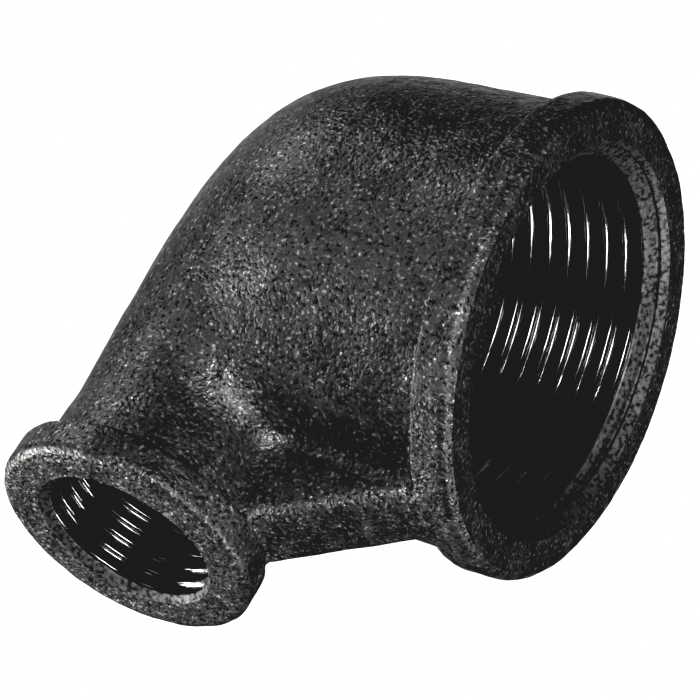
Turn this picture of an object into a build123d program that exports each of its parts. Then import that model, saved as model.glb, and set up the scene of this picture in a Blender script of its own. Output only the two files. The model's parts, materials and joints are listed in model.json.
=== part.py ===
from build123d import *
from build123d.topology import SkipClean
import math
import os

# Banded 90 degree reducing elbow, 1 1/4 x 1/2, malleable cast iron, with an internal
# pipe thread (BSP) in each end. Millimetres.
#
# Frame: the origin is the centre of the large mouth, on its end face. +X points out of
# the large mouth and -Y out of the small one. The two bores cross in the plane Z = 0.
#
# The real fitting is one casting. Its regions are kept as separate solids that meet face
# to face: the walls of the barrel, the bend and the neck, a band round each mouth, a
# threaded socket lining in each end and the web in the inner corner.

# Centre-to-face lengths, from the crossing of the two bore axes.
LARGE_REACH = 34.0
SMALL_REACH = 38.0

# Pipe threads: radius at the roots, radius over the crests, pitch, and the depth of the
# first crest in from the mouth. Eleven and fourteen threads to the inch.
LARGE_THREAD = (41.91 / 2, 38.952 / 2, 2.309, 3.2)
SMALL_THREAD = (20.955 / 2, 18.631 / 2, 1.814, 2.45)
FLANK_ANGLE = 27.5
GROOVE_OVERCUT = 0.2
TURNS_PER_CUT = 3
SEAM_TURN = 37

# Threaded socket linings.
LARGE_THREAD_LENGTH, LARGE_LINING_R, LARGE_CHAMFER = 19.0, 22.0, 2.0
SMALL_THREAD_LENGTH, SMALL_LINING_R, SMALL_CHAMFER = 12.0, 11.1, 1.0

# Bands round the mouths.
LARGE_BAND_R, LARGE_BAND_WIDTH, LARGE_BAND_EDGE = 25.9, 4.8, 1.6
SMALL_BAND_R, SMALL_BAND_WIDTH, SMALL_BAND_EDGE = 14.65, 4.3, 1.3

# Curved wall: outside radii at the bands and where the bend begins, wall thicknesses,
# and the radius of the tight inner corner.
BARREL_R_AT_BAND, BARREL_R_AT_BEND = 24.5, 23.8
NECK_R_AT_BAND, NECK_R_AT_BEND = 12.5, 12.3
LARGE_WALL, SMALL_WALL = 2.8, 1.9
THROAT_R = 2.2

# The outside of the bend follows one cubic curve from barrel to neck. The handles are
# the lengths of its end tangents, and the flare is how far the heel leans outward.
BARREL_HANDLE, NECK_HANDLE, HEEL_FLARE = 25.0, 27.0, 0.04
BEND_SECTIONS = 6

# Web across the inner corner: its free edge runs from one band's rim to the other's.
WEB_THICKNESS, WEB_EDGE_R = 9.0, 1.8
WEB_LARGE_END_R, WEB_SMALL_END_R = 25.7, 14.5
LEAST_SLANT = 0.1

# A round shape made with this alignment has its end at Z = 0 and lies below it.
INTO_MOUTH = (Align.CENTER, Align.CENTER, Align.MAX)

CROSSING = Vector(-LARGE_REACH, 0, 0)
LARGE_MOUTH = Plane(origin=(0, 0, 0), x_dir=(0, -1, 0), z_dir=(1, 0, 0))
SMALL_MOUTH = Plane(
    origin=(-LARGE_REACH, -SMALL_REACH, 0), x_dir=(0, 0, -1), z_dir=(0, -1, 0)
)

# The bend's sections fan round this line, which is parallel to Z.
PIVOT = CROSSING + Vector(THROAT_R + NECK_R_AT_BEND, -(THROAT_R + BARREL_R_AT_BEND), 0)


def heel_curve():
    """The outside of the bend, in the plane Z = 0, from barrel to neck."""
    start = Vector(PIVOT.X, BARREL_R_AT_BEND, 0)
    end = Vector(CROSSING.X - NECK_R_AT_BEND, PIVOT.Y, 0)
    barrel_run = LARGE_REACH - LARGE_BAND_WIDTH - (PIVOT.X - CROSSING.X)
    slope = (BARREL_R_AT_BAND - BARREL_R_AT_BEND) / barrel_run
    into_bend = Vector(-1, -slope, 0).normalized() * BARREL_HANDLE
    out_of_neck = Vector(-HEEL_FLARE, 1, 0).normalized() * NECK_HANDLE
    return Bezier(start, start + into_bend, end + out_of_neck, end)


def bend_sections(hollow):
    """Round sections fanned about the pivot: the outside, or the hollow inside it."""
    heel = heel_curve()
    sections = []
    for step in range(BEND_SECTIONS):
        share = step / (BEND_SECTIONS - 1)
        across = (heel @ share) - PIVOT
        outward = across.normalized()
        radius = (across.length - THROAT_R) / 2
        centre = PIVOT + outward * (THROAT_R + radius)
        wall = LARGE_WALL + (SMALL_WALL - LARGE_WALL) * share
        travel = Vector(0, 0, 1).cross(outward)
        plane = Plane(origin=centre, x_dir=outward, z_dir=travel)
        sections.append(plane * Circle(radius - wall if hollow else radius))
    return sections


def barrel(hollow):
    """The straight part behind the large band: the outside, or the hollow inside it."""
    wall = LARGE_WALL if hollow else 0
    band_back = LARGE_MOUTH.offset(-LARGE_BAND_WIDTH)
    return loft([bend_sections(hollow)[0], band_back * Circle(BARREL_R_AT_BAND - wall)])


def bend(hollow):
    """The quarter turn that tapers from the barrel to the neck."""
    return loft(bend_sections(hollow))


def neck(hollow):
    """The straight part behind the small band."""
    wall = SMALL_WALL if hollow else 0
    band_back = SMALL_MOUTH.offset(-SMALL_BAND_WIDTH)
    return loft([bend_sections(hollow)[-1], band_back * Circle(NECK_R_AT_BAND - wall)])


def cast_wall(region):
    """The wall round the barrel, the bend or the neck, open right through."""
    return region(hollow=False) - region(hollow=True)


def socket_space(mouth, radius, length):
    """The round space that a socket lining fills."""
    return mouth * Cylinder(radius, length, align=INTO_MOUTH)


def band(mouth, outer_r, inner_r, width, edge_r):
    """A thickened rim round a mouth, its outer corners rounded."""
    ring = Cylinder(outer_r, width, align=INTO_MOUTH)
    ring = fillet(ring.edges().filter_by(GeomType.CIRCLE), edge_r)
    return mouth * (ring - Cylinder(inner_r, width, align=INTO_MOUTH))


def groove_run(major_r, minor_r, pitch, start, turns):
    """A few turns of right-hand helical V groove about +Z, rising from start."""
    slope = math.tan(math.radians(FLANK_ANGLE))
    depth = major_r - minor_r
    root_half = pitch / 4 - slope * depth / 2
    open_half = root_half + slope * (depth + GROOVE_OVERCUT)
    corners = [
        (minor_r - GROOVE_OVERCUT, start - open_half),
        (major_r, start - root_half),
        (major_r, start + root_half),
        (minor_r - GROOVE_OVERCUT, start + open_half),
    ]
    profile = Plane.XZ * make_face(Polyline(*corners, close=True))
    path = Helix(pitch, pitch * turns, minor_r, center=(0, 0, start))
    return sweep(profile, path=path, is_frenet=True)


def quartered(lining, outer_r, length):
    """The same lining about +Z, with its round faces split at each quarter turn.

    Each turn of thread crest is then four short faces, not one long helical one.
    """
    corner = Box(outer_r, outer_r, length, align=(Align.MIN, Align.MIN, Align.MAX))
    with SkipClean():
        quarters = [lining & Rot(0, 0, SEAM_TURN + 90 * turn) * corner for turn in range(4)]
        return quarters[0] + quarters[1:]


def threaded_lining(mouth, thread, lining_r, length, chamfer_depth):
    """The threaded inside of a socket, with a chamfer where the pipe starts.

    It is made about +Z with its mouth at Z = 0. The groove runs out of the chamfer at the
    mouth and stops short of the far end.
    """
    major_r, minor_r, pitch, first_crest = thread
    lining = Cylinder(lining_r, length, align=INTO_MOUTH)
    lining -= Cylinder(minor_r, length, align=INTO_MOUTH)
    lining = lining.rotate(Axis.Z, SEAM_TURN)
    lining -= Cone(minor_r, minor_r + chamfer_depth, chamfer_depth, align=INTO_MOUTH)
    full_grooves = int((length - first_crest) / pitch)
    turns = full_grooves + int(first_crest / pitch) + 1
    start = -first_crest - (full_grooves - 0.5) * pitch
    for turn in range(0, turns, TURNS_PER_CUT):
        run = min(TURNS_PER_CUT, turns - turn)
        lining -= groove_run(major_r, minor_r, pitch, start + turn * pitch, run)
    return mouth * quartered(lining, lining_r, length)


def web():
    """The flat rib across the inner corner, in the plane of the bend."""
    band_back = -LARGE_BAND_WIDTH
    neck_end = -(SMALL_REACH - SMALL_BAND_WIDTH)
    outline = Polyline(
        (band_back, 0),
        (band_back, -WEB_LARGE_END_R),
        (CROSSING.X + WEB_SMALL_END_R, neck_end),
        (CROSSING.X, neck_end),
        (CROSSING.X, 0),
        close=True,
    )
    plate = extrude(make_face(outline), amount=WEB_THICKNESS / 2, both=True)
    plate = fillet(plate.edges().filter_by(is_free_edge), WEB_EDGE_R)
    rib = plate - barrel(hollow=False) - bend(hollow=False) - neck(hollow=False)
    return rib.solids().sort_by(Axis.X)[-1]


def is_free_edge(edge):
    """Whether an edge of the web's plate runs slanting across the open corner."""
    along = edge.tangent_at(0.5)
    return abs(along.X) > LEAST_SLANT and abs(along.Y) > LEAST_SLANT


def save(node, shape):
    """Write one named piece."""
    export_step(shape, f"parts/{node}.step")


os.makedirs("parts", exist_ok=True)
large_space = socket_space(LARGE_MOUTH, LARGE_LINING_R, LARGE_THREAD_LENGTH)
small_space = socket_space(SMALL_MOUTH, SMALL_LINING_R, SMALL_THREAD_LENGTH)
save("barrel_wall", cast_wall(barrel) - large_space)
save("bend_wall", cast_wall(bend))
save("neck_wall", cast_wall(neck) - small_space)
save(
    "large_band",
    band(LARGE_MOUTH, LARGE_BAND_R, LARGE_LINING_R, LARGE_BAND_WIDTH, LARGE_BAND_EDGE),
)
save(
    "small_band",
    band(SMALL_MOUTH, SMALL_BAND_R, SMALL_LINING_R, SMALL_BAND_WIDTH, SMALL_BAND_EDGE),
)
save(
    "large_thread",
    threaded_lining(
        LARGE_MOUTH, LARGE_THREAD, LARGE_LINING_R, LARGE_THREAD_LENGTH, LARGE_CHAMFER
    ),
)
save(
    "small_thread",
    threaded_lining(
        SMALL_MOUTH, SMALL_THREAD, SMALL_LINING_R, SMALL_THREAD_LENGTH, SMALL_CHAMFER
    ),
)
save("web", web())
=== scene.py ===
import json
import math
from collections import namedtuple

import bmesh
import bpy
import numpy as np
import openvdb
from mathutils import Matrix, Vector, noise


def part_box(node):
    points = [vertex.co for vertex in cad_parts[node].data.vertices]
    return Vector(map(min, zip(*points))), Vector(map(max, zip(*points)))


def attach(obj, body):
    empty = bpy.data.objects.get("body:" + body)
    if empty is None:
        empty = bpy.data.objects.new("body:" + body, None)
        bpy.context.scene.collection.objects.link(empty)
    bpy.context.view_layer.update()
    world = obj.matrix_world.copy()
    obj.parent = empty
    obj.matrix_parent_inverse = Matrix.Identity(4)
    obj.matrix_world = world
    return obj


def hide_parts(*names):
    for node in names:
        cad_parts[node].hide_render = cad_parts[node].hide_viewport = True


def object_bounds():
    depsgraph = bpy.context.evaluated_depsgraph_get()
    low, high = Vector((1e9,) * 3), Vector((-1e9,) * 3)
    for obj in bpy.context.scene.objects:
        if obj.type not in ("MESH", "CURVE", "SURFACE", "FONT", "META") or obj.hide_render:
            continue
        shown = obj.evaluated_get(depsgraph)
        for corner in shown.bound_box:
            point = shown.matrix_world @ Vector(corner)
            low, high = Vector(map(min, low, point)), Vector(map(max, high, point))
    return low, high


# A banded reducing pipe elbow in black malleable iron. The frame gives its places and
# sizes. The cast skin is one distance field in millimetres, so that the bands, the web
# and the bend flow into each other with cast fillets, and it is then cut into pieces.

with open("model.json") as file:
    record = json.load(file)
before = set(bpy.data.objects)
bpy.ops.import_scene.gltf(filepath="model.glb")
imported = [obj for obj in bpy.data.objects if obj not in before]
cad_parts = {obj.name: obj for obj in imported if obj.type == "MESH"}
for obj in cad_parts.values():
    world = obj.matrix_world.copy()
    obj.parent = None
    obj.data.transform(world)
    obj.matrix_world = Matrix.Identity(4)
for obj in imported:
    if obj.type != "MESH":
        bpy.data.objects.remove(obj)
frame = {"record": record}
cad_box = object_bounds()

MM = 1000.0
ROOT = "root"


def box_mm(node):
    """A CAD node's lowest and highest corner, in millimetres."""
    low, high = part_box(node)
    return np.array(low) * MM, np.array(high) * MM


# ---------------------------------------------------------------- sizes from the frame

large_band_low, large_band_high = box_mm("large_band")
small_band_low, small_band_high = box_mm("small_band")
large_lining_low, large_lining_high = box_mm("large_thread")
small_lining_high = box_mm("small_thread")[1]
barrel_high = box_mm("barrel_wall")[1]
bend_low = box_mm("bend_wall")[0]
web_high = box_mm("web")[1]
mounts = {mount["name"]: mount for mount in frame["record"]["mounts"]}

LARGE_BAND_R = large_band_high[1]
LARGE_BAND_WIDTH = -large_band_low[0]
SMALL_BAND_R = small_band_high[2]
SMALL_FACE_Y = small_band_low[1]
SMALL_BAND_WIDTH = small_band_high[1] - SMALL_FACE_Y
CROSSING_X = (small_band_low[0] + small_band_high[0]) / 2
BARREL_R_AT_BAND = barrel_high[2]
LARGE_MINOR_R = mounts["large_socket"]["dims"]["r_mm"]
SMALL_MINOR_R = mounts["small_socket"]["dims"]["r_mm"]
LARGE_THREAD_LENGTH = -large_lining_low[0]
SMALL_THREAD_LENGTH = small_lining_high[1] - SMALL_FACE_Y
WEB_HALF = web_high[2]

# ---------------------------------------------------------------- sizes of its own

# The wall: outside radii at the bend's two ends and at the neck's band, thicknesses, the
# radius of the tight inner corner, and the line that the bend's sections fan round. The
# heel's curve has a handle at each end and leans outward by the flare.
BARREL_R_AT_BEND = 23.8
NECK_R_AT_BAND, NECK_R_AT_BEND = 12.5, 12.3
LARGE_WALL, SMALL_WALL = 2.8, 1.9
THROAT_R = 2.2
BARREL_HANDLE, NECK_HANDLE, HEEL_FLARE = 25.0, 27.0, 0.04
PIVOT_X = CROSSING_X + THROAT_R + NECK_R_AT_BEND
PIVOT_Y = -(THROAT_R + BARREL_R_AT_BEND)

# Rounding of each band's front and back rim, and the fillet where it meets the wall.
LARGE_FRONT_R, LARGE_BACK_R = 1.3, 0.5
SMALL_FRONT_R, SMALL_BACK_R = 1.1, 0.5
BAND_FILLET = 0.4

# The web: where its free edge ends on each band, its rounding, draft and fillet.
WEB_LARGE_END_R, WEB_SMALL_END_R = 25.7, 14.5
WEB_EDGE_R, WEB_DRAFT, WEB_FILLET = 1.8, 0.03, 1.6

# Threaded sockets: radii over the crests, at the roots and outside the lining, pitch,
# depth of the first crest and of the chamfer, and length.
LARGE_LINING_R, SMALL_LINING_R = large_lining_high[1], small_lining_high[2]
Socket = namedtuple("Socket", "minor_r major_r lining_r pitch first_crest chamfer length")
LARGE_SOCKET = Socket(
    minor_r=LARGE_MINOR_R,
    major_r=20.955,
    lining_r=LARGE_LINING_R,
    pitch=2.309,
    first_crest=3.2,
    chamfer=2.0,
    length=LARGE_THREAD_LENGTH,
)
SMALL_SOCKET = Socket(
    minor_r=SMALL_MINOR_R,
    major_r=10.4775,
    lining_r=SMALL_LINING_R,
    pitch=1.814,
    first_crest=2.45,
    chamfer=0.85,
    length=SMALL_THREAD_LENGTH,
)

# How many points the heel's curve is measured at, and how far the neck's taper goes on,
# as a share of the neck's length.
HEEL_SAMPLES = 200
NECK_OVERRUN = 1.5

# The field's grid: its spacing, the room round the object at its sides and mouths and
# behind the heel, and the value beyond it.
VOXEL = 0.34
GRID_ROOM, HEEL_ROOM = 1.0, 3.0
FAR_VALUE = 4.0

# Points are moved onto the field's surface in this many rounds. The slope is measured over
# a small step to each side, and is never taken to be less steep than this.
SETTLE_ROUNDS = 2
SLOPE_STEP = 0.02
LEAST_STEEPNESS = 0.2
SMALLEST = 1e-6


# ---------------------------------------------------------------- distance field


def heel_table():
    """Angle about the pivot and distance from it, along the outside of the bend."""
    start = np.array([PIVOT_X, BARREL_R_AT_BEND])
    end = np.array([CROSSING_X - NECK_R_AT_BEND, PIVOT_Y])
    barrel_run = -LARGE_BAND_WIDTH - PIVOT_X
    into_bend = np.array([-1, -(BARREL_R_AT_BAND - BARREL_R_AT_BEND) / barrel_run])
    out_of_neck = np.array([-HEEL_FLARE, 1.0])
    first = start + into_bend / np.linalg.norm(into_bend) * BARREL_HANDLE
    second = end + out_of_neck / np.linalg.norm(out_of_neck) * NECK_HANDLE
    t = np.linspace(0, 1, HEEL_SAMPLES)[:, None]
    curve = (1 - t) ** 3 * start + 3 * (1 - t) ** 2 * t * first
    curve = curve + 3 * (1 - t) * t**2 * second + t**3 * end
    out = curve - np.array([PIVOT_X, PIVOT_Y])
    return np.arctan2(-out[:, 0], out[:, 1]), np.hypot(out[:, 0], out[:, 1])


HEEL_ANGLE, HEEL_REACH = heel_table()


def bend_field(x, y, z, wall):
    """Distance to the barrel, bend and neck, each with round sections, less a wall."""
    dx, dy = x - PIVOT_X, y - PIVOT_Y
    angle = np.arctan2(-dx, dy)
    share = np.clip(angle / (math.pi / 2), 0, 1)
    reach = np.interp(angle, HEEL_ANGLE, HEEL_REACH)
    radius = (reach - THROAT_R) / 2
    inset = (LARGE_WALL + (SMALL_WALL - LARGE_WALL) * share) * wall
    bend = np.hypot(np.hypot(dx, dy) - THROAT_R - radius, z) - radius + inset
    barrel_share = (x - PIVOT_X) / (-LARGE_BAND_WIDTH - PIVOT_X)
    barrel_r = BARREL_R_AT_BEND + (BARREL_R_AT_BAND - BARREL_R_AT_BEND) * barrel_share
    barrel = np.hypot(y, z) - barrel_r + LARGE_WALL * wall
    neck_end = SMALL_FACE_Y + SMALL_BAND_WIDTH
    neck_share = np.clip((y - PIVOT_Y) / (neck_end - PIVOT_Y), 0, NECK_OVERRUN)
    neck_r = NECK_R_AT_BEND + (NECK_R_AT_BAND - NECK_R_AT_BEND) * neck_share
    neck = np.hypot(x - CROSSING_X, z) - neck_r + SMALL_WALL * wall
    barrel = np.maximum(barrel, x)
    neck = np.maximum(neck, SMALL_FACE_Y - y)
    field = np.where(dx > 0, np.where(dy < 0, np.minimum(barrel, neck), barrel), 0)
    field = np.where((dx <= 0) & (dy < 0), neck, field)
    return np.where((dx <= 0) & (dy >= 0), bend, field)


def disc_field(along, radial, low, high, radius, low_edge, high_edge):
    """Distance to a disc between two places on its axis, each rim with its own rounding."""
    half = (high - low) / 2
    from_middle = along - (low + high) / 2
    edge = np.where(from_middle > 0, high_edge, low_edge)
    out_axis = np.abs(from_middle) - half + edge
    out_radial = radial - radius + edge
    outside = np.hypot(np.maximum(out_axis, 0), np.maximum(out_radial, 0))
    return outside + np.minimum(np.maximum(out_axis, out_radial), 0) - edge


def merge(a, b, fillet):
    """Union of two fields with a fillet in the corner between them."""
    mix = np.clip(0.5 + 0.5 * (b - a) / fillet, 0, 1)
    return b + (a - b) * mix - fillet * mix * (1 - mix)


def web_field(x, y, z):
    """The rib across the inner corner, with draft and a rounded free edge."""
    start = np.array([-LARGE_BAND_WIDTH, -WEB_LARGE_END_R])
    end = np.array([CROSSING_X + WEB_SMALL_END_R, SMALL_FACE_Y + SMALL_BAND_WIDTH])
    along = (end - start) / np.linalg.norm(end - start)
    out = np.array([-along[1], along[0]])
    out = out if out @ np.array([1, -1]) > 0 else -out
    beyond = (x - start[0]) * out[0] + (y - start[1]) * out[1]
    thick = np.abs(z) - WEB_HALF + WEB_DRAFT * beyond
    corner_a = np.maximum(beyond + WEB_EDGE_R, 0)
    corner_b = np.maximum(thick + WEB_EDGE_R, 0)
    rib = np.hypot(corner_a, corner_b) - WEB_EDGE_R
    rib = rib + np.minimum(np.maximum(beyond, thick) + WEB_EDGE_R, 0)
    fence = np.maximum(CROSSING_X - x, y)
    fence = np.maximum(fence, x + LARGE_BAND_WIDTH / 2)
    fence = np.maximum(fence, SMALL_FACE_Y + SMALL_BAND_WIDTH / 2 - y)
    return np.maximum(rib, fence)


def casting_field(p):
    """The whole cast skin, inside and out: negative in the iron."""
    x, y, z = p
    about_x = np.hypot(y, z)
    about_y = np.hypot(x - CROSSING_X, z)
    small_back = SMALL_FACE_Y + SMALL_BAND_WIDTH
    iron = bend_field(x, y, z, 0)
    iron = merge(iron, web_field(x, y, z), WEB_FILLET)
    large_rims = (LARGE_BACK_R, LARGE_FRONT_R)
    small_rims = (SMALL_FRONT_R, SMALL_BACK_R)
    large = disc_field(x, about_x, -LARGE_BAND_WIDTH, 0, LARGE_BAND_R, *large_rims)
    small = disc_field(y, about_y, SMALL_FACE_Y, small_back, SMALL_BAND_R, *small_rims)
    iron = merge(iron, large, BAND_FILLET)
    iron = merge(iron, small, BAND_FILLET)
    hollow = bend_field(x, y, z, 1)
    large_hole = np.maximum(about_x - LARGE_LINING_R, -LARGE_THREAD_LENGTH - x)
    small_hole = np.maximum(about_y - SMALL_LINING_R, y - SMALL_FACE_Y - SMALL_THREAD_LENGTH)
    hollow = np.minimum(hollow, np.minimum(large_hole, small_hole))
    return np.maximum(iron, -hollow)


def casting_surface():
    """Points and quads of the cast skin, from the field's values on a regular grid."""
    side = LARGE_BAND_R + GRID_ROOM
    low = np.array([bend_low[0] - HEEL_ROOM, SMALL_FACE_Y - GRID_ROOM, -side])
    low[0] = min(low[0], CROSSING_X - SMALL_BAND_R - GRID_ROOM)
    high = np.array([GRID_ROOM, side, side])
    axes = [np.arange(a, b, VOXEL) for a, b in zip(low, high)]
    values = np.empty([len(a) for a in axes], np.float32)
    yy, zz = np.meshgrid(axes[1], axes[2], indexing="ij")
    for i, x in enumerate(axes[0]):
        values[i] = casting_field((np.full_like(yy, x), yy, zz))
    grid = openvdb.FloatGrid(FAR_VALUE)
    grid.copyFromArray(values)
    points, quads = grid.convertToQuads(isovalue=0.0)
    return points * VOXEL + low, quads[:, ::-1]


def field_slope(points):
    """The field's gradient at each point."""
    slope = np.empty_like(points)
    for axis in range(3):
        shift = np.zeros(3)
        shift[axis] = SLOPE_STEP
        ahead = casting_field((points + shift).T)
        behind = casting_field((points - shift).T)
        slope[:, axis] = (ahead - behind) / (2 * SLOPE_STEP)
    return slope


# ---------------------------------------------------------------- surface roughness

# Each layer of lumps: how far apart they are and how high, in millimetres. The sink is
# how far the cast skin lies below its nominal surface, so that no lump stands proud.
CAST_LUMPS = ((7.0, 0.10), (2.6, 0.06), (1.2, 0.035))
CAST_SINK = 0.07
CAST_SEED = 4.1
LAYER_SHIFT = 17.3
THREAD_TEARS = ((2.2, 0.05), (0.7, 0.03))
TEAR_ON_CREST, TEAR_ON_CHAMFER = 0.5, 1.6
LARGE_TEAR_SEED, SMALL_TEAR_SEED = 2.7, 8.9

# The smooth margin round each lining's seat: beyond its end, and beyond its radius.
SEAT_END, SEAT_RIM = 1.0, 0.5


def lumps(points_mm, layers, seed):
    """Smooth noise of several sizes at each point, the same on every run."""
    height = np.zeros(len(points_mm))
    for layer, (spacing, amount) in enumerate(layers):
        moved = points_mm / spacing + seed + LAYER_SHIFT * layer
        height += amount * np.array([noise.noise(p) for p in moved.tolist()])
    return height


def roughen(points_mm):
    """Lumps and hollows all over the cast skin, except where a lining is seated."""
    slope = field_slope(points_mm)
    slope /= np.maximum(np.linalg.norm(slope, axis=1), SMALLEST)[:, None]
    about_x = np.hypot(points_mm[:, 1], points_mm[:, 2])
    about_y = np.hypot(points_mm[:, 0] - CROSSING_X, points_mm[:, 2])
    large_end = -LARGE_THREAD_LENGTH - SEAT_END
    small_end = SMALL_FACE_Y + SMALL_THREAD_LENGTH + SEAT_END
    on_large = (points_mm[:, 0] > large_end) & (about_x < LARGE_LINING_R + SEAT_RIM)
    on_small = (points_mm[:, 1] < small_end) & (about_y < SMALL_LINING_R + SEAT_RIM)
    free = ~(on_large | on_small)
    height = np.minimum(lumps(points_mm, CAST_LUMPS, CAST_SEED) - CAST_SINK, 0)
    return points_mm + slope * (height * free)[:, None]


def settle(points_mm):
    """Points moved onto the surface of the field, nearer in each round."""
    for _ in range(SETTLE_ROUNDS):
        slope = field_slope(points_mm)
        steep = np.maximum((slope**2).sum(axis=1), LEAST_STEEPNESS)
        step = casting_field(points_mm.T) / steep
        points_mm = points_mm - slope * np.clip(step, -VOXEL, VOXEL)[:, None]
    return points_mm


# ---------------------------------------------------------------- materials


class Graph:
    """A material's nodes, added with their values and links in one call each."""

    def __init__(self, name):
        self.material = bpy.data.materials.new(name)
        self.material.use_nodes = True
        self.nodes = self.material.node_tree.nodes
        self.links = self.material.node_tree.links
        self.shader = self.nodes["Principled BSDF"]
        self.place = self.nodes.new("ShaderNodeTexCoord").outputs["Object"]

    def set(self, node, **values):
        """Link or fill a node's sockets, named with _ for a space."""
        for name, value in values.items():
            socket = node.inputs[name.replace("_", " ")]
            if isinstance(value, bpy.types.NodeSocket):
                self.links.new(value, socket)
            else:
                socket.default_value = value
        return node

    def noise(self, spacing_mm, detail, rough, place=None):
        """Noise whose features are about this far apart."""
        node = self.nodes.new("ShaderNodeTexNoise")
        place = place or self.place
        self.set(node, Vector=place, Scale=MM / spacing_mm, Detail=detail, Roughness=rough)
        return node.outputs["Fac"]

    def stretch(self, scale):
        """The place on the object, scaled along each axis."""
        node = self.nodes.new("ShaderNodeMapping")
        self.set(node, Vector=self.place, Scale=scale)
        return node.outputs["Vector"]

    def ramp(self, value, *stops):
        """A value turned into a grey or a colour, by stops of position and shade."""
        node = self.nodes.new("ShaderNodeValToRGB")
        self.links.new(value, node.inputs["Fac"])
        elements = node.color_ramp.elements
        while len(elements) < len(stops):
            elements.new(0.5)
        for element, (position, colour) in zip(elements, stops):
            element.position = position
            grey = isinstance(colour, (int, float))
            element.color = (colour,) * 3 + (1,) if grey else (*colour, 1)
        return node.outputs["Color"]

    def multiply(self, a, b):
        """One colour times another."""
        node = self.nodes.new("ShaderNodeMix")
        node.data_type = "RGBA"
        node.blend_type = "MULTIPLY"
        self.set(node, Factor=1.0, A=a, B=b)
        return node.outputs["Result"]

    def rise(self, axis, start_mm, end_mm):
        """0 up to one place along an axis of the object, and 1 from the other on."""
        split = self.nodes.new("ShaderNodeSeparateXYZ")
        self.set(split, Vector=self.place)
        node = self.nodes.new("ShaderNodeMapRange")
        self.set(node, Value=split.outputs[axis], From_Min=start_mm / MM, From_Max=end_mm / MM)
        return node.outputs["Result"]

    def blend(self, share, a, b):
        """From one colour to another as the share goes from 0 to 1."""
        node = self.nodes.new("ShaderNodeMix")
        node.data_type = "RGBA"
        self.set(node, Factor=share, A=a, B=b)
        return node.outputs["Result"]

    def bump(self, height, depth_mm, strength, under=None):
        """A bump of this depth, on top of another one where that is given."""
        node = self.nodes.new("ShaderNodeBump")
        self.set(node, Height=height, Distance=depth_mm / MM, Strength=strength)
        if under is not None:
            self.links.new(under, node.inputs["Normal"])
        return node.outputs["Normal"]


def cast_skin_material():
    """Black malleable iron as cast: gritty and pitted, its pits darkened with painted shade
    and its bright specks made with painted glints.
    """
    g = Graph("cast_skin")
    blotch = g.noise(4.5, 4.0, 0.6)
    grain = g.noise(1.3, 3.0, 0.62)
    grit = g.noise(0.44, 1.5, 0.5)
    shade = g.ramp(blotch, (0.34, (0.085, 0.085, 0.082)), (0.66, (0.16, 0.16, 0.156)))
    # The grit's low places, which the fine bump sinks, are darkened as painted shade in the
    # pits. Its high places are brightened up to five times as painted glints.
    pit_shade_and_speck_glints = g.ramp(grit, (0.33, 0.03), (0.40, 0.85), (0.60, 1.0), (0.66, 2.0), (0.72, 5.0))
    colour = g.multiply(shade, pit_shade_and_speck_glints)
    gloss = g.ramp(grain, (0.35, 0.34), (0.65, 0.56))
    lump = g.bump(g.noise(2.4, 3.0, 0.55), 0.30, 0.5)
    rough = g.bump(grain, 0.25, 0.7, lump)
    fine = g.bump(grit, 0.17, 0.9, rough)
    g.set(g.shader, Base_Color=colour, Roughness=gloss, Normal=fine)
    g.set(g.shader, Metallic=0.85)
    return g.material


# The lip where each chamfer meets the end face: how deep it begins and where it is full.
LARGE_LIP, SMALL_LIP = (2.6, 2.2), (1.3, 1.0)
LIP_ROUGHNESS = (0.58, 0.58, 0.58, 1)
TOOL_LINE_STRETCH = 0.03


def cut_thread_material(name, along, lip_from, lip_to):
    """Machined iron gone dark, with tool lines round the bore and a dull torn lip.

    Along the bore's axis, the dull lip begins and is full at the two places given.
    """
    g = Graph(name)
    lines = g.stretch([1.0 if axis == along else TOOL_LINE_STRETCH for axis in range(3)])
    tool = g.noise(0.12, 2.0, 0.6, lines)
    wear = g.noise(1.1, 3.0, 0.6)
    colour = g.ramp(wear, (0.35, (0.20, 0.20, 0.197)), (0.7, (0.40, 0.40, 0.394)))
    gloss = g.ramp(tool, (0.3, 0.10), (0.7, 0.17))
    worn = g.bump(wear, 0.015, 0.5)
    fine = g.bump(tool, 0.02, 0.8, worn)
    on_lip = g.rise(along, lip_from, lip_to)
    torn = g.ramp(g.noise(0.5, 2.0, 0.5), (0.40, 0.03), (0.50, 0.14), (0.70, 0.24))
    g.set(g.shader, Base_Color=g.blend(on_lip, colour, torn), Normal=fine, Metallic=1.0)
    g.set(g.shader, Roughness=g.blend(on_lip, gloss, LIP_ROUGHNESS))
    return g.material


cast_skin = cast_skin_material()
large_lip = (-depth for depth in LARGE_LIP)
small_lip = (SMALL_FACE_Y + depth for depth in SMALL_LIP)
cut_thread_large = cut_thread_material("cut_thread_large", 0, *large_lip)
cut_thread_small = cut_thread_material("cut_thread_small", 1, *small_lip)


# ---------------------------------------------------------------- cast pieces


# How far along X and Y a point of the cast skin may lie outside the CAD's box: there the
# mouths' faces are cut flat. Along Z none may.
END_ROOM = 1.5
CUT_TOLERANCE = 1e-8


def finish_piece(piece, nodes, slot, *materials):
    """Give a piece its materials and its body, and hide the CAD nodes it stands for. The slot
    is not used.
    """
    for material in materials:
        piece.data.materials.append(material)
    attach(piece, ROOT)
    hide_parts(*nodes)


def object_from(mesh, name):
    """A new object from a bmesh, which is freed."""
    data = bpy.data.meshes.new(name)
    mesh.to_mesh(data)
    mesh.free()
    piece = bpy.data.objects.new(name, data)
    bpy.context.scene.collection.objects.link(piece)
    return piece


def boundary(items):
    """The edges among some new geometry that have a face on one side only."""
    edges = [item for item in items if isinstance(item, bmesh.types.BMEdge)]
    return [edge for edge in edges if edge.is_boundary]


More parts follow.
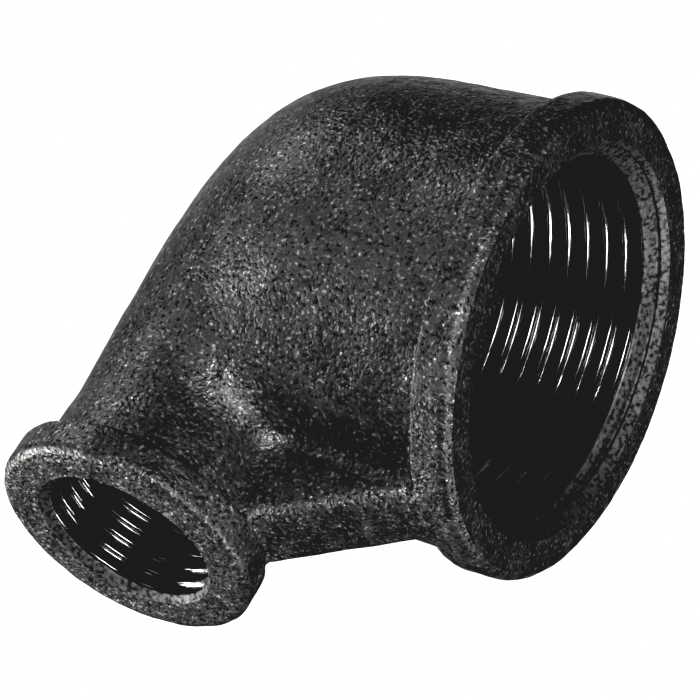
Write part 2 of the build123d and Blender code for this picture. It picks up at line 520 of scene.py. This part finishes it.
def cut(mesh, place, outward):
    """Drop what lies on the outward side of a plane, and give the cut's edges."""
    geometry = mesh.verts[:] + mesh.edges[:] + mesh.faces[:]
    plane = {"plane_co": place, "plane_no": outward, "clear_outer": True}
    result = bmesh.ops.bisect_plane(mesh, geom=geometry, dist=CUT_TOLERANCE, **plane)
    return boundary(result["geom_cut"])


def cap(mesh, rim, outward, material_index=0):
    """Close the gap between loops of edges with a flat face, its edges kept sharp."""
    filled = bmesh.ops.triangle_fill(mesh, edges=rim, use_beauty=True, normal=outward)
    for item in filled["geom"]:
        if isinstance(item, bmesh.types.BMFace):
            item.smooth = False
            item.material_index = material_index
    for edge in rim:
        edge.smooth = False


def cast_piece(name, source, cuts, nodes):
    """One piece of the casting, kept between planes and closed with flat faces."""
    mesh = bmesh.new()
    mesh.from_mesh(source)
    for face in mesh.faces:
        face.smooth = True
    for place, outward in cuts:
        rim = cut(mesh, Vector(place) / MM, Vector(outward))
        cap(mesh, rim, Vector(outward))
    finish_piece(object_from(mesh, name), nodes, "cast_skin", cast_skin)


def whole_casting():
    """The cast skin as one mesh, a little proud of both mouths' faces."""
    points, quads = casting_surface()
    points = roughen(settle(points))
    low, high = np.array(cad_box[0]) * MM, np.array(cad_box[1]) * MM
    room = np.array([END_ROOM, END_ROOM, 0])
    points = np.clip(points, low - room, high + room)
    mesh = bpy.data.meshes.new("casting")
    mesh.from_pydata((points / MM).tolist(), [], quads.tolist())
    return mesh


casting = whole_casting()
PLUS_X, MINUS_X = (1, 0, 0), (-1, 0, 0)
PLUS_Y, MINUS_Y = (0, 1, 0), (0, -1, 0)
MINUS_Z = (0, 0, -1)
large_face = (0, 0, 0)
large_back = (-LARGE_BAND_WIDTH, 0, 0)
small_face = (CROSSING_X, SMALL_FACE_Y, 0)
small_back = (CROSSING_X, SMALL_FACE_Y + SMALL_BAND_WIDTH, 0)
body_cuts = ((large_back, PLUS_X), (small_back, MINUS_Y))
cast_piece("cast_body", casting, body_cuts, ("barrel_wall", "bend_wall", "neck_wall", "web"))
large_cuts = ((large_face, PLUS_X), (large_back, MINUS_X))
cast_piece("mouth_band_large", casting, large_cuts, ("large_band",))
small_cuts = ((small_face, MINUS_Y), (small_back, PLUS_Y))
cast_piece("mouth_band_small", casting, small_cuts, ("small_band",))


# ---------------------------------------------------------------- threads

# A strip of thread is at least this much too long at each end, where it is cut flat.
THREAD_MARGIN = 0.3
ROWS_PER_PITCH = 24
POINTS_AROUND = 320
FULL_TURN = 2 * math.pi

# The flanks are this much steeper than a plain V, which leaves flats at crest and root,
# and this share of the form is eased.
FLANK_STEEPNESS, EASED_SHARE = 1.22, 0.35

# Which of a lining's materials its flat ends and its outside have: the cast skin.
SKIN_INDEX = 1


def thread_form(share, minor_r, major_r):
    """Radius along one pitch, from root to crest to root, with eased corners."""
    from_crest = np.abs(share - 0.5) * 2
    form = np.clip((from_crest - 0.5) * FLANK_STEEPNESS + 0.5, 0, 1)
    form = form * form * (3 - 2 * form) * EASED_SHARE + form * (1 - EASED_SHARE)
    return minor_r + (major_r - minor_r) * form


def round_points(r, angle, z):
    """Points at these radii, angles and heights about +Z."""
    return np.stack([r * np.cos(angle), r * np.sin(angle), z], axis=-1).reshape(-1, 3)


def thread_points(socket, seed):
    """Rows of points over the threaded wall, and how many rows there are.

    Local +Z points out of the mouth, at Z = 0. Each row follows the helix, so that every
    crest is a clean line.
    """
    above = math.ceil((socket.first_crest + THREAD_MARGIN) / socket.pitch - 0.5)
    top = (above + 0.5) * socket.pitch - socket.first_crest
    reach = top + socket.length + socket.pitch + THREAD_MARGIN
    row = np.arange(math.ceil(reach / socket.pitch) * ROWS_PER_PITCH + 1)
    angle = np.arange(POINTS_AROUND) / POINTS_AROUND * FULL_TURN
    depth = top - row[:, None] * socket.pitch / ROWS_PER_PITCH
    z = depth + socket.pitch * angle / FULL_TURN
    share = (row % ROWS_PER_PITCH) / ROWS_PER_PITCH
    form = thread_form(share, socket.minor_r, socket.major_r)
    r = np.broadcast_to(form[:, None], z.shape)
    tear = lumps(round_points(r, angle, z), THREAD_TEARS, seed).reshape(z.shape)
    cone = socket.minor_r + socket.chamfer + z + tear * TEAR_ON_CHAMFER
    r = np.maximum(r + tear * TEAR_ON_CREST, cone)
    return round_points(r, angle, z), len(row)


def thread_faces(rows):
    """Quads between the rows. The last column joins the first one pitch higher."""
    last = POINTS_AROUND - 1
    faces = []
    for j in range(rows - 1):
        a, b = j * POINTS_AROUND, (j + 1) * POINTS_AROUND
        faces += [(a + i, b + i, b + i + 1, a + i + 1) for i in range(last)]
        if j >= ROWS_PER_PITCH:
            c = (j - ROWS_PER_PITCH) * POINTS_AROUND
            faces.append((a + last, b + last, c + POINTS_AROUND, c))
    return faces


def ring(mesh, radius, z):
    """A circle of edges about +Z."""
    turns = [FULL_TURN * i / POINTS_AROUND for i in range(POINTS_AROUND)]
    spots = [(radius * math.cos(t), radius * math.sin(t), z) for t in turns]
    corners = [mesh.verts.new(Vector(spot) / MM) for spot in spots]
    edges = [mesh.edges.new((corners[i - 1], corners[i])) for i in range(POINTS_AROUND)]
    return corners, edges


def close_end(mesh, z, outward, lining_r):
    """Cut the strip flat at this height and close the end out to the lining's outside."""
    rim = cut(mesh, Vector((0, 0, z / MM)), outward)
    corners, edges = ring(mesh, lining_r, z)
    cap(mesh, rim + edges, outward, SKIN_INDEX)
    return corners


def threaded_piece(name, node, socket, place, material, seed):
    """A threaded lining closed at its ends and outside, put in its socket."""
    points, rows = thread_points(socket, seed)
    mesh = bmesh.new()
    corners = [mesh.verts.new(Vector(p) / MM) for p in points.tolist()]
    for face in thread_faces(rows):
        mesh.faces.new([corners[i] for i in face]).smooth = True
    up = Vector((0, 0, 1))
    mouth = close_end(mesh, 0, up, socket.lining_r)
    end = close_end(mesh, -socket.length, -up, socket.lining_r)
    for i in range(POINTS_AROUND):
        side = mesh.faces.new((mouth[i - 1], end[i - 1], end[i], mouth[i]))
        side.smooth = True
        side.material_index = SKIN_INDEX
    bmesh.ops.recalc_face_normals(mesh, faces=mesh.faces)
    mesh.transform(place)
    finish_piece(object_from(mesh, name), (node,), "cut_thread", material, cast_skin)


def socket_place(x_dir, z_dir, origin_mm):
    """The turn and move that take a lining's own axes to its socket."""
    x_dir, z_dir = Vector(x_dir), Vector(z_dir)
    turn = Matrix((x_dir, z_dir.cross(x_dir), z_dir)).transposed().to_4x4()
    return Matrix.Translation(Vector(origin_mm) / MM) @ turn


threaded_piece(
    "thread_lining_large",
    "large_thread",
    LARGE_SOCKET,
    socket_place(MINUS_Y, PLUS_X, large_face),
    cut_thread_large,
    LARGE_TEAR_SEED,
)
threaded_piece(
    "thread_lining_small",
    "small_thread",
    SMALL_SOCKET,
    socket_place(MINUS_Z, MINUS_Y, small_face),
    cut_thread_small,
    SMALL_TEAR_SEED,
)

# ---------------------------------------------------------------- floor, light, camera

FLOOR_HALF = 4.0
FLOOR_SHADE = (0.9, 0.9, 0.9, 1)
FLOOR_GLOW = 0.95
WHITE = (1, 1, 1, 1)


def add_floor():
    """A pale floor that glows white, but throws no light or shade onto the black iron."""
    mesh = bmesh.new()
    bmesh.ops.create_grid(mesh, x_segments=1, y_segments=1, size=FLOOR_HALF)
    mesh.transform(Matrix.Translation((0, 0, cad_box[0][2])))
    floor = object_from(mesh, "floor")
    pale = Graph("pale_floor")
    pale.set(pale.shader, Base_Color=FLOOR_SHADE, Roughness=0.9, Specular_IOR_Level=0.1)
    pale.set(pale.shader, Emission_Color=WHITE, Emission_Strength=FLOOR_GLOW)
    floor.data.materials.append(pale.material)
    floor.visible_diffuse = False
    floor.visible_glossy = False
    floor.visible_shadow = False


add_floor()

# The lights are aimed at a point this share of the way from the large mouth's centre to
# the bores' crossing, and all stand this far from it, in metres.
LIGHT_AIM = 0.6
LIGHT_DISTANCE = 1.2


def direction(azimuth, elevation):
    """The way from the object to something seen round it: 0 is the -Y side, 90 the +X."""
    a, e = math.radians(azimuth), math.radians(elevation)
    return Vector((math.sin(a) * math.cos(e), -math.cos(a) * math.cos(e), math.sin(e)))


def soft_light(name, azimuth, elevation, size, power):
    """A square soft light aimed at the object, its size in metres and power in watts."""
    data = bpy.data.lights.new(name, "AREA")
    data.size = size
    data.energy = power
    light = bpy.data.objects.new(name, data)
    bpy.context.scene.collection.objects.link(light)
    way = direction(azimuth, elevation)
    light.location = Vector((CROSSING_X * LIGHT_AIM, 0, 0)) / MM + way * LIGHT_DISTANCE
    light.rotation_euler = way.to_track_quat("Z", "Y").to_euler()


soft_light("key", 45, 46, 0.40, 9.8)
soft_light("bore_streak", 82, 43, 0.07, 1.6)
soft_light("mouth_side", 106, -4, 0.15, 1.4)
soft_light("front_low", 56, -20, 0.35, 7.2)
soft_light("left_low", 309, -15, 0.35, 13.5)
soft_light("left_rim", 295, 8, 0.35, 5.5)
soft_light("back_rim", 240, 28, 0.35, 3.0)
soft_light("back_low", 222, -32, 0.9, 1.8)
soft_light("top_left", 309, 68, 0.35, 0.7)


def dark_world():
    """A world that gives no light of its own."""
    world = bpy.data.worlds.new("studio")
    bpy.context.scene.world = world
    world.use_nodes = True
    background = world.node_tree.nodes["Background"].inputs
    background["Color"].default_value = WHITE
    background["Strength"].default_value = 0.0


dark_world()

# Where the camera stands, seen from the object, its distance in metres, and its lens and
# sensor in millimetres.
CAMERA_AZIMUTH, CAMERA_ELEVATION, CAMERA_ROLL = 43.85, 48.25, 20.6
CAMERA_DISTANCE = 0.643
CAMERA_LENS, CAMERA_SENSOR = 309.8, 36.0

# The point in the middle of the view, from the bores' crossing: across and up the view,
# in millimetres.
AIM_ACROSS, AIM_UP = 6.02, -8.58


def add_camera():
    """The camera, rolled so that the large mouth stands higher than the small one."""
    data = bpy.data.cameras.new("camera")
    camera = bpy.data.objects.new("camera", data)
    bpy.context.scene.collection.objects.link(camera)
    bpy.context.scene.camera = camera
    data.lens = CAMERA_LENS
    data.sensor_width = CAMERA_SENSOR
    back = direction(CAMERA_AZIMUTH, CAMERA_ELEVATION)
    level_right = Vector((0, 0, 1)).cross(back).normalized()
    level_up = back.cross(level_right)
    roll = math.radians(CAMERA_ROLL)
    right = level_right * math.cos(roll) - level_up * math.sin(roll)
    up = back.cross(right)
    crossing = Vector((CROSSING_X, 0, 0)) / MM
    aim = crossing + (right * AIM_ACROSS + up * AIM_UP) / MM
    turn = Matrix((right, up, back)).transposed().to_4x4()
    camera.matrix_world = Matrix.Translation(aim + back * CAMERA_DISTANCE) @ turn


add_camera()

# The tone curve: what is darker than the first is lost, and comes out as the second.
CLIPPED_BLACK, SOFT_BLACK = 0.024, 0.0112
ALL_COLOURS_CURVE = 3


def soft_black_tone():
    """A plain tone curve: the deepest shade is a soft black, and white stays white."""
    view = bpy.context.scene.view_settings
    view.view_transform = "Standard"
    view.use_curve_mapping = True
    view.curve_mapping.extend = "HORIZONTAL"
    view.curve_mapping.black_level = (CLIPPED_BLACK,) * 3
    shades = view.curve_mapping.curves[ALL_COLOURS_CURVE]
    shades.points[0].location = (0.0, SOFT_BLACK)
    view.curve_mapping.update()


soft_black_tone()
